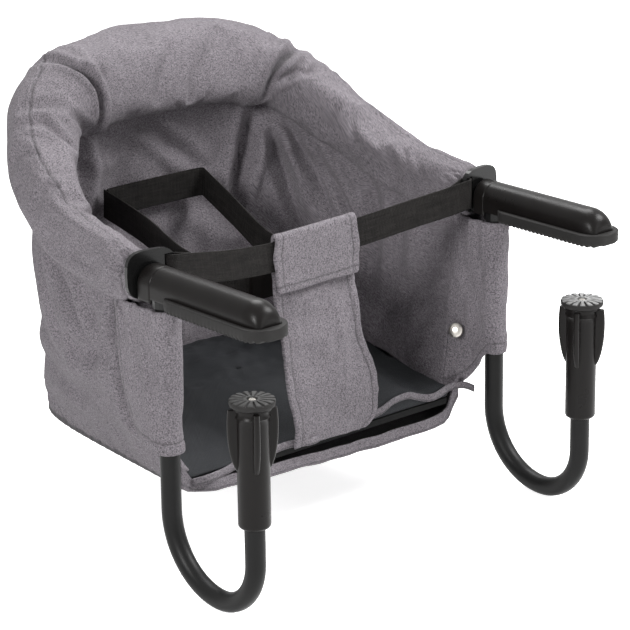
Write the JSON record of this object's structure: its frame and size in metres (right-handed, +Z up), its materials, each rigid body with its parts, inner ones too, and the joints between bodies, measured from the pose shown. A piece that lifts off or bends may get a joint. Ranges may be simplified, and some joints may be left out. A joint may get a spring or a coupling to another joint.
{
  "type": "hook-on table chair",
  "caption": "Fabric child seat on a bent tube frame that hangs from a table top, with a padded rim, flat arms and swinging J-shaped hooks with screw clamps.",
  "frame": {"origin": "plane of the table top (underside of the arm pads), on the line of the hook tubes' long legs, midway between the arms", "axes": "+Z up, +Y from the table towards the back rest, +X across from the left arm to the right arm as seen from the table"},
  "size_m": [0.3912, 0.4048, 0.3803],
  "materials": {
    "steel": "satin black enamel",
    "moulding": "matte black moulded plastic",
    "gloss": "glossy black moulded plastic",
    "rubber": "matte black rubber",
    "zinc": "bright plated steel",
    "foam": "open-cell foam",
    "melange": "woven melange grey cloth",
    "nylon": "smooth dark nylon cloth",
    "webbing": "ribbed black webbing",
    "board": "black plastic board"
  },
  "bodies": {
    "chair": {"frame_tube": "steel", "arm_cover_left": "moulding", "arm_cover_right": "moulding", "table_pad_left": "rubber", "table_pad_right": "rubber", "connector_left": "gloss", "connector_right": "gloss", "connector_rivet_left": "zinc", "connector_rivet_right": "zinc", "swivel_pin_left": "zinc", "swivel_pin_right": "zinc", "rim_foam": "foam", "rim_cover_left": "melange", "rim_cover_back": "melange", "rim_cover_right": "melange", "side_panel_left": "melange", "side_panel_right": "melange", "back_panel": "melange", "inner_lining": "melange", "bottom_panel": "melange", "seat_board": "board", "seat_cover": "nylon", "front_band": "melange", "seat_hem": "melange", "tube_sleeve_left": "melange", "tube_sleeve_right": "melange", "press_stud_left": "zinc", "press_stud_right": "zinc", "front_belt": "webbing", "crotch_panel": "melange", "waist_strap_back": "webbing", "waist_strap_right": "webbing", "buckle_socket": "moulding"},
    "hook_left": {"hook_tube_left": "steel", "spindle_nut_left": "moulding"},
    "hook_right": {"hook_tube_right": "steel", "spindle_nut_right": "moulding"},
    "clamp_left": {"foot_left": "rubber"},
    "clamp_right": {"foot_right": "rubber"},
    "screw_left": {"knob_left": "moulding", "clamp_spindle_left": "zinc"},
    "screw_right": {"knob_right": "moulding", "clamp_spindle_right": "zinc"},
    "buckle_half": {"buckle_tongue": "moulding", "waist_strap_left": "webbing"}
  },
  "joints": [
    {"name": "hook_swing_left", "type": "hinge", "parent": "chair", "child": "hook_left", "pos_m": [-0.175, 0, 0], "axis": [0, 0, 1], "range_deg": [0, 90]},
    {"name": "hook_swing_right", "type": "hinge", "parent": "chair", "child": "hook_right", "pos_m": [0.175, 0, 0], "axis": [0, 0, -1], "range_deg": [0, 90]},
    {"name": "clamp_travel_left", "type": "slide", "parent": "hook_left", "child": "clamp_left", "axis": [0, 0, 1], "range_m": [-0.034, 0.031]},
    {"name": "clamp_travel_right", "type": "slide", "parent": "hook_right", "child": "clamp_right", "axis": [0, 0, 1], "range_m": [-0.034, 0.031]},
    {"name": "knob_spin_left", "type": "hinge", "parent": "clamp_left", "child": "screw_left", "pos_m": [-0.175, -0.101, -0.1], "axis": [0, 0, 1], "range_deg": [-2448, 2232]},
    {"name": "knob_spin_right", "type": "hinge", "parent": "clamp_right", "child": "screw_right", "pos_m": [0.175, -0.101, -0.1], "axis": [0, 0, 1], "range_deg": [-2448, 2232]},
    {"name": "buckle_release", "type": "slide", "parent": "chair", "child": "buckle_half", "axis": [-1, 0, 0], "range_m": [0, 0.018]}
  ],
  "couplings": [
    {"joint": "knob_spin_left", "follows": "clamp_travel_left", "rad_per_m": 1256.6},
    {"joint": "knob_spin_right", "follows": "clamp_travel_right", "rad_per_m": 1256.6}
  ]
}
